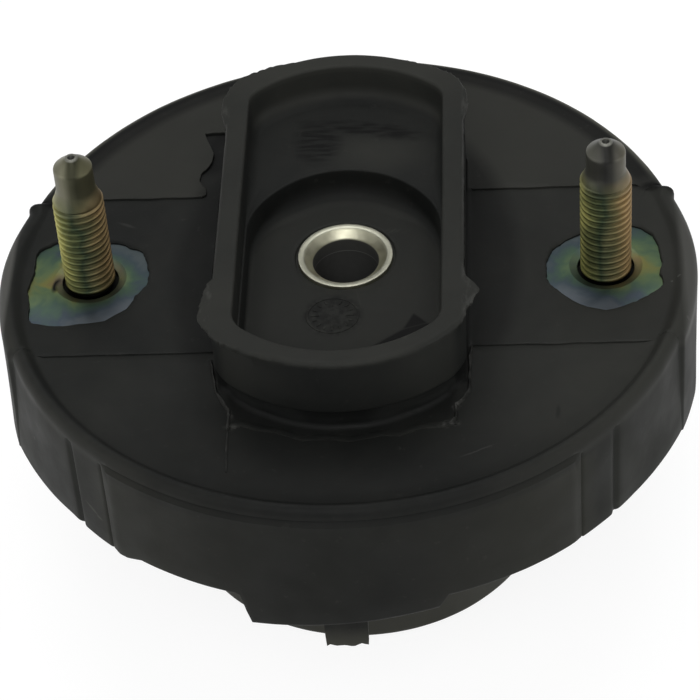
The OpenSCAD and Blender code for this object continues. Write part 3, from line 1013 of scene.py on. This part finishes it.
# Painted light on the points' sides and painted shade in front, over their grey
LEFT_POINT_LIT_AND_SHADED = [(0.0, (0.15, 0.147, 0.108)), (0.28, (0.16, 0.156, 0.11)), (0.45, (0.07, 0.07, 0.045)),
              (0.6, (0.058, 0.058, 0.036)), (0.75, (0.092, 0.089, 0.053)), (1.0, (0.11, 0.104, 0.062))]
RIGHT_POINT_LIT_AND_SHADED = [(0.0, (0.11, 0.11, 0.09)), (0.3, (0.072, 0.072, 0.062)), (0.48, (0.034, 0.034, 0.032)),
               (0.62, (0.038, 0.038, 0.034)), (0.75, (0.08, 0.077, 0.064)), (1.0, (0.13, 0.122, 0.09))]


def rubber_bloom_and_painted_light(s, cloud):
    """How much grey bloom and painted light lie on the rubber."""
    rear = s.both(s.range(s.y, BAND_HALF - 0.3, BAND_HALF + 0.3), s.slab(0.95, 1.35, 0.15))
    front = s.both(s.range(s.y, -BAND_HALF + 0.3, -BAND_HALF - 0.3), s.slab(0, 0.6, 0.15))
    top = s.range(s.z, COLLAR_TOP - 1.6, COLLAR_TOP - 0.6)
    rear_end = s.both(top, s.range(s.y, 30, 44))
    rear_wall = s.both(s.range(s.y, 28, 33), s.slab(*REAR_SPAN), s.blob((0, 0), (30, 44), 0, 0.02))
    collar_side = s.both(s.range(s.y, -36, -38), s.slab(*SIDE_SPAN), s.range(s.size(s.x), 8, 18))
    floor = s.both(s.blob((0, -12), (20, 31), 0, 0.03), s.slab(FLOOR_Z - 1, FLOOR_Z + 0.3, 0.3))
    shelf = s.both(s.blob((7.3, 24), (7.5, 5), 0, 0.6), s.slab(*SHELF_SPAN))
    point = s.add("NewGeometry").outputs["Pointiness"]
    worn = s.both(s.range(point, 0.51, 0.6, 0, 0.5), s.range(s.noise(2.5, 3), 0.42, 0.62))
    boss = s.range(s.z, *BOSS_FADE)
    right_rim = s.both(s.range(s.x, 24, 31), s.range(s.x, 31, 66, 0.3, 1), s.range(s.z, -0.3, 0.3),
                       s.range(s.z, 3, 2.6))
    rim_outer = s.both(s.outside(s.disc(RIM_R - 1.3, 0.01)), s.range(s.z, -2, -0.6), s.range(s.y, 20, 8),
                       s.range(s.size(s.x), 12, 40))
    aside = s.sum(s.range(s.x, 12, 34, 0, 0.6), s.range(s.x, -12, -34, 0, 0.4))
    panels = s.both(s.range(s.z, -1.5, -3), s.range(s.z, -29, -28), s.range(s.y, -48, -51), aside)
    # Lighter regions. On the rear and front sheets and the collar's top and rear end: bloom and painted
    # light where more light falls. On the pocket's rear wall, floor and shelf, the collar's sides, the boss
    # and the skirt's panels: painted light against their shade. On the rims: a painted highlight.
    bloom_and_light_regions = [(rear, 0.74), (front, 0.12), (top, 0.42), (rear_end, 0.5), (rear_wall, 0.6),
               (collar_side, 0.35), (floor, 0.36), (shelf, 0.5), (boss, 0.95), (right_rim, 0.65),
               (rim_outer, 0.6), (panels, 1.1)]
    clouds = s.range(cloud, 0.25, 0.75, -0.2, 0.2)
    return s.sum(0.22, clouds, worn, *[s.both(mask, much) for mask, much in bloom_and_light_regions])


def pocket_stains_and_shade(s):
    """Dark places in the pocket: a stain smudged on the shelf, a darker wedge and a mark on the floor, and
    painted shade on the recess's wall.
    """
    rough = s.ragged(3, 1.2)
    shelf, floor = s.slab(*SHELF_SPAN), s.slab(FLOOR_Z - 1, FLOOR_Z + 2, 0.3)
    streaks = s.range(s.noise(1, 3, place=s.stretched(0.16, 0.9, 1)), 0.4, 0.58, 0.3, 1)
    smudge = s.most(s.blob((-6, 27.3), (4.4, 6.6), 0, 0.3, rough),
                    s.blob((4.4, 30.9), (12, 2), -13, 0.4, rough))
    wedge = s.most(s.polygon(WEDGE_TIP), s.polygon(WEDGE))
    mottle = s.both(s.blob(EMBLEM_AT, (5.7, 5.7), 0, 0.1), s.range(s.noise(1.2, 3), 0.36, 0.56))
    # Painted shade on the recess's rear wall
    recess = s.both(s.range(s.y, 4, 9), s.slab(*RECESS_SPAN), s.disc(19.4, 0.01))
    return [(s.both(smudge, streaks, shelf), 0.8), (s.both(wedge, floor), 0.9),
            (s.both(mottle, floor), 0.55), (recess, 0.4)]


def rubber_stains_and_shade(s):
    """Dark places: the pocket's stains and shade, a darker torn bay and darker curls, a mark on the face,
    and painted shade at the collar's foot and front, in the rear rim's groove and on the tongue.
    """
    bay = s.both(s.blob((-27.4, 37.4), (3.4, 6.6), -6, 0.25), s.range(s.z, 0.95, 0.7))
    across, along = s.size(s.x), s.size(s.y)
    past_collar = s.range(s.most(s.both(across, 1 / 21.5), s.both(along, 1 / 43.2)), 0.99, 1.01)
    # Painted shade on the neck under the collar's lip, over the torn sheet and in front of the collar
    foot = s.both(s.blob((0, 0), (34, 52), 0, 0.05), s.slab(0.9, 5.8, 0.6), past_collar)
    torn = s.both(s.polygon(TORN_SHEET, 1.0), s.range(s.z, 2, 1.4))
    front = s.both(s.blob((0, -59), (42, 19), 0, 0.6, s.ragged(9, 3)), s.range(s.z, 3.5, 2.6))
    mark = s.both(s.stroke((40.8, -39.6), (40.4, -43.3), 0.9), s.range(s.z, 1.4, 1.0))
    # Painted shade in the groove inside the rear rim
    rear_rim = s.both(s.outside(s.disc(RIM_R - 5.8, 0.018)), s.range(s.y, 21, 26),
                      s.disc(RIM_R - 2.4, 0.009))
    ends = [s.stroke((e * 58.5, 22.9), (e * 67.2, 20.9), 2.4) for e in (-1, 1)]
    curls = s.both(s.sum(*ends), s.range(s.z, -4, -2))
    # Painted shade on the tongue and on the collar's front face
    tag = s.both(s.range(s.z, -25.5, -28), s.range(s.y, -63, -64), s.range(across, 5.5, 4))
    collar_front = s.both(s.range(s.y, -40, -42), s.slab(*FRONT_SPAN), s.range(across, 16, 8))
    layers = pocket_stains_and_shade(s) + [
        (bay, 0.7), (foot, 0.62), (torn, 0.5), (front, 0.5), (mark, 0.5),
        (rear_rim, 0.7), (curls, 0.9), (collar_front, 0.32), (tag, 0.55)]
    return s.most(*[s.both(mask, depth) for mask, depth in layers])


def rubber_marks(s):
    """Light scratches, specks and scuffs, and worn edges."""
    face = s.both(s.range(s.z, 3.2, 2.8), s.range(s.z, -0.4, -0.1))
    faint = [s.stroke(*scratch) for scratch in SCRATCHES]
    specks = [s.blob(*speck) for speck in SPECKS]
    skirt, low = s.unrolled(), s.range(s.z, -3, -4)
    scuffs = [s.blob(*scuff, 0.5, skirt) for scuff in SCUFFS]
    fins = [s.stroke(*fin) for fin in PALE_FLASH]
    raised = s.both(s.slab(FRONT_Z + 0.2, 2.2, 0.1), s.range(s.noise(2, 3), 0.38, 0.54))
    rough = s.ragged(1.6, 0.8)
    knots = [s.blob(*knot, 0.5, rough) for knot in KNOTS]
    torn = s.both(s.sum(*knots), s.range(s.noise(0.9, 3), 0.4, 0.6), s.slab(FRONT_Z - 0.2, 2.2, 0.1))
    collar_x = SIDE_X + COLLAR_WALL
    streaks = s.range(s.noise(1.6, 4, 0.6, place=s.stretched(1, 0.35, 1)), 0.5, 0.62)
    edges = s.both(s.range(s.size(s.x), collar_x - 0.7, collar_x - 0.2), s.slab(*EDGE_SPAN), streaks)
    groups = [s.both(s.sum(*faint), face, 0.3), s.both(s.sum(*specks), face),
              s.both(s.sum(*scuffs), low, 0.5), s.both(s.sum(*fins), raised, 0.45), s.both(edges, 0.4),
              s.both(torn, 0.7)]
    return s.math("MINIMUM", s.sum(*groups), 1.0)


def rubber_material():
    """Moulded black rubber with olive-grey bloom, dark stains and light scratches, and painted light and
    painted shade on parts of it.
    """
    s = Shader("moulded_rubber")
    cloud = s.noise(17, 4, 0.6)
    grain = s.noise(0.45, 2)
    speck = s.noise(1.7, 4, 0.6)
    # Bloom and painted light over the black rubber
    s.colour = s.mix(rubber_bloom_and_painted_light(s, cloud), BLACK, BLOOM_AND_PAINTED_LIGHT)
    # Stains and painted shade
    s.paint(rubber_stains_and_shade(s), STAIN_AND_SHADE)
    s.paint(s.range(speck, 0.64, 0.74, 0, 0.35), SPECK)
    s.paint(s.both(rubber_marks(s), 0.8), SCRATCH)
    # Painted light on the boss, against its shade
    s.paint(s.range(s.z, *BOSS_FADE, 0, 0.7), BOSS_PAINTED_LIGHT)
    upper = s.range(s.z, -3, -1)
    # Painted highlight on the outside of the rim at the band's ends
    end = s.both(s.range(s.size(s.y), 32, 22), upper)
    ends = s.sum(s.range(s.x, -66, -66.9), s.range(s.x, 65, 66.4, 0, 0.65))
    s.paint(s.both(end, ends), END_RIM_HIGHLIGHT)
    # Painted highlight along the outer edge of the rear rim
    rear_edge = s.both(s.outside(s.disc(RIM_R - 2, 0.007)), s.range(s.y, 24, 28), upper)
    s.paint(s.both(rear_edge, 0.8), REAR_RIM_HIGHLIGHT)
    s.paint(s.range(s.z, 0, -2), SKIRT_TINT, "MULTIPLY")
    roughness = s.range(s.noise(9, 3), 0.25, 0.75, 0.5, 0.66)
    s.bump([(cloud, 0.10), (grain, 0.012), (speck, 0.012)])
    return s.finish(roughness, Specular_IOR_Level=0.12)


def plate_material():
    """Yellow passivated zinc: blue towards the rod, yellow outside, a brown ring round each stud, with
    painted light in front of the studs and painted shade in their holes.
    """
    s = Shader("passivated_plate")
    far = s.from_stud()
    outward = s.range(s.size(s.x), STUD_X - 13, STUD_X + 12, -0.16, 0.36)
    level = s.range(s.size(s.sum(s.y, 0.5)), 2, 12, 0.1, -0.36)
    near = s.range(far, 10.5, 6.5, 0, 0.26)
    film = s.sum(0.25, outward, level, near, s.range(s.noise(6, 3, 0.55, warp=0.6), 0.2, 0.8, -0.26, 0.26))
    s.colour = s.ramp(film, FILM)
    ring = s.both(s.range(far, DISH_R + 0.3, DISH_R - 0.7), s.range(s.noise(5, 2), 0.3, 0.7, 0.15, 0.5))
    ring_tone = s.mix(s.range(s.beside_stud(), -5, 6), (0.12, 0.125, 0.125), (0.26, 0.18, 0.12))
    s.paint(ring, ring_tone)
    # Painted light: the plate lightened in front of the studs
    s.paint(s.range(s.y, -4, -9), (1.5, 1.42, 1.55), "MULTIPLY")
    # A dark nick on the left patch, and painted shade in the gap round each stud
    nick = s.both(s.blob((-57.6, -1.6), (0.75, 2.0), -12, 0.3),
                  s.outside(s.blob((-56.6, -1.4), (1, 1.8), -12, 0.3)))
    hole = s.range(far, HOLE_R + 0.12, HOLE_R - 0.12)
    s.paint(s.most(nick, hole), (0.012, 0.012, 0.012))
    roughness = s.range(s.noise(3, 3), 0.3, 0.7, 0.42, 0.55)
    s.bump([(s.noise(5, 2), 0.03), (s.noise(0.35, 2), 0.004)])
    return s.finish(roughness, Metallic=1.0)


def stud_material():
    """The same film on the studs, with painted shade in front and painted light on the sides: yellow to the
    left, orange to the right.
    """
    s = Shader("passivated_stud")
    side = s.beside_stud()
    drift = s.range(s.noise(6, 3, 0.5, warp=0.4), 0.2, 0.8, -0.16, 0.16)
    # Painted light on the thread's sides and painted shade in front, over the film's yellow and orange
    turn = s.sum(s.range(side, -THREAD_R, THREAD_R), drift, s.range(s.x, -1, 1, 0.02, 0.07))
    s.colour = s.ramp(turn, THREAD_FILM_LIT_AND_SHADED)
    (left_top, left_point), (right_top, right_point) = STUD_ENDS[-1], STUD_ENDS[1]
    right = s.range(s.x, -1, 1)
    grey = s.range(s.z, s.range(right, 0, 1, left_top - 2.5, right_top - 2),
                   s.range(right, 0, 1, left_point + 0.5, right_point))
    around = s.range(side, -4.2, 4.2)
    cone, far = s.range(s.z, TIP_Z - 0.6, TIP_Z), s.from_stud()
    # Painted shade on the front of each point's cone and painted light on its sides
    front = s.range(s.size(s.sum(around, -0.53)), 0.18, 0.06)
    cone_light_and_shade = s.mix(front, (1.3, 1.3, 1.3), (0.6, 0.6, 0.6))
    tones = s.mix(right, s.ramp(around, LEFT_POINT_LIT_AND_SHADED), s.ramp(around, RIGHT_POINT_LIT_AND_SHADED))
    tones = s.mix(cone, tones, cone_light_and_shade, "MULTIPLY")
    tip = s.range(s.z, STUD_TOP - 0.35, STUD_TOP - 0.15)
    tones = s.mix(s.both(tip, 0.7), tones, (0.26, 0.26, 0.23))
    # Painted shade in the small centre hole at the tip
    tones = s.mix(s.range(far, MARK_R + 0.05, MARK_R - 0.1), tones, (0.05, 0.05, 0.045))
    s.paint(grey, tones)
    # Painted shade at the foot of each stud, next to the plate
    foot = s.range(right, 0, 1, 0.7, 0.1)
    s.paint(s.range(s.z, foot, s.sum(foot, -0.5)), (0.01, 0.01, 0.009))
    roughness = s.sum(s.range(s.noise(2.5, 3), 0.3, 0.7, 0.47, 0.58), s.both(grey, -0.08))
    s.bump([(s.noise(0.5, 3), 0.008), (s.noise(1.3, 3), 0.02)])
    s.put(s.bsdf.inputs["Metallic"], s.range(grey, 0, 1, 1, 0.65))
    return s.finish(roughness, Specular_IOR_Level=0.1)


def sleeve_material():
    """Bright zinc on turned steel, with fine rings from the tool, a dark rough bore and a painted highlight
    round the bore at its land.
    """
    s = Shader("bright_zinc")
    across = s.add("CombineXYZ", {0: s.far(s.x, s.y), 2: s.z}).outputs[0]
    turned = s.noise(0.16, 2, place=across)
    cloud = s.noise(3, 3)
    bore = s.range(s.z, SLEEVE_TOP - MOUTH_R + 0.1, SLEEVE_TOP - MOUTH_R - 0.2)
    s.colour = s.mix(s.range(cloud, 0.3, 0.7), (0.55, 0.54, 0.40), (0.68, 0.66, 0.51))
    lip = s.range(s.z, SLEEVE_TOP - 0.16, SLEEVE_TOP - 0.08)
    s.paint(s.both(lip, 0.5), (0.36, 0.37, 0.33))
    s.paint(bore, (0.04, 0.04, 0.037))
    # Painted highlight: a lighter ring on the bore at the land's edge
    land = SLEEVE_TOP - MOUTH_R - LAND_DEPTH
    s.paint(s.both(s.slab(land - 0.1, land + 0.2, 0.12), 0.7), (0.16, 0.16, 0.15))
    roughness = s.sum(s.range(s.noise(1.5, 2), 0.3, 0.7, 0.36, 0.48), s.both(bore, 0.3))
    s.bump([(turned, 0.008), (cloud, 0.006)])
    s.put(s.bsdf.inputs["Metallic"], s.range(bore, 0, 1, 1, 0))
    return s.finish(roughness)


def floor_material():
    """Floor that shows white with the object's shadow, but lights it like a grey one."""
    s = Shader("white_floor")
    s.colour = (0.6, 0.6, 0.6)
    s.finish(0.9)
    rays = s.add("LightPath").outputs
    seen = s.most(*[rays[f"Is {kind} Ray"] for kind in ("Camera", "Glossy", "Transmission")])
    plain = s.add("BsdfDiffuse", {"Color": (0.2, 0.2, 0.2)})
    glow = s.add("Emission", {"Strength": 0.87})
    white = s.add("AddShader", {0: plain.outputs[0], 1: glow.outputs[0]})
    shown = s.add("MixShader", {0: seen, 1: s.bsdf.outputs[0], 2: white.outputs[0]})
    s.put(s.nodes["Material Output"].inputs["Surface"], shown.outputs[0])
    return s.material


def make_floor():
    bm = bmesh.new()
    bmesh.ops.create_grid(bm, x_segments=1, y_segments=1, size=3000)
    bmesh.ops.translate(bm, vec=(0, 0, BOSS_Z), verts=bm.verts)
    floor = finish_mesh(bm, "floor")
    floor.data.materials.append(floor_material())


def make_world():
    """Soft studio round the object: bright low down, dim above."""
    world = bpy.data.worlds.new("studio")
    scene.world = world
    tree = Nodes(world)
    height = tree.add("SeparateXYZ", {0: tree.add("TexCoord").outputs["Generated"]}).outputs[2]
    room = tree.nodes["Background"]
    tree.put(room.inputs["Color"], (1, 1, 1))
    tree.put(room.inputs["Strength"], tree.range(height, 0.0, 0.9, 0.5, 0.22))


# Soft lamps that shine at the origin: place, size and watts
LAMPS = {
    "top_soft": ((0, 260, 800), (700, 500), 2.8),
    "front_fill": ((0, -620, 700), (640, 440), 2.8),
    "left_soft": ((-690, -330, 290), (500, 420), 0.9),
    "right_soft": ((690, -330, 290), (500, 420), 1.0),
}


def make_lamps():
    for name, (place, size, watts) in LAMPS.items():
        light = bpy.data.lights.new(name, "AREA")
        light.shape = "RECTANGLE"
        light.size, light.size_y = size[0] * MM, size[1] * MM
        light.energy = watts
        lamp = bpy.data.objects.new(name, light)
        lamp.location = Vector(place) * MM
        lamp.rotation_euler = lamp.location.to_track_quat("Z", "Y").to_euler()
        scene.collection.objects.link(lamp)


# Camera as fitted to the photograph
CAMERA_HEIGHT = 42.923
CAMERA_SIDE = 4.741
CAMERA_ROLL = -4.713
CAMERA_AWAY = 591.84
CAMERA_AIM = Vector((-0.63, 0, -21.11))
CAMERA_LENS = 150.36
SENSOR = 36


def make_camera():
    """Looks at its aim from a height and a side, rolled a little."""
    data = bpy.data.cameras.new("camera")
    data.lens = CAMERA_LENS
    data.sensor_width = SENSOR
    data.clip_start = 0.01
    camera = bpy.data.objects.new("camera", data)
    place = Matrix.Translation(CAMERA_AIM * MM)
    for angle, axis in ((CAMERA_SIDE, "Z"), (90 - CAMERA_HEIGHT, "X"), (CAMERA_ROLL, "Z")):
        place = place @ Matrix.Rotation(math.radians(angle), 4, axis)
    camera.matrix_world = place @ Matrix.Translation((0, 0, CAMERA_AWAY * MM))
    scene.collection.objects.link(camera)
    scene.camera = camera


def dress(piece, node, material):
    """Makes a piece stand for a solid."""
    piece.data.materials.append(material)
    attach(piece, "root")
    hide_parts(node)


make_camera()
dress(make_rubber(), "rubber_body", rubber_material())
dress(make_studs(), "studs", stud_material())
dress(make_sleeve(), "centre_sleeve", sleeve_material())
plate = frame["nodes"]["mounting_plate"]
plate.data.materials.clear()
plate.data.materials.append(plate_material())
make_floor()
make_world()
make_lamps()
scene.view_settings.view_transform = "Standard"
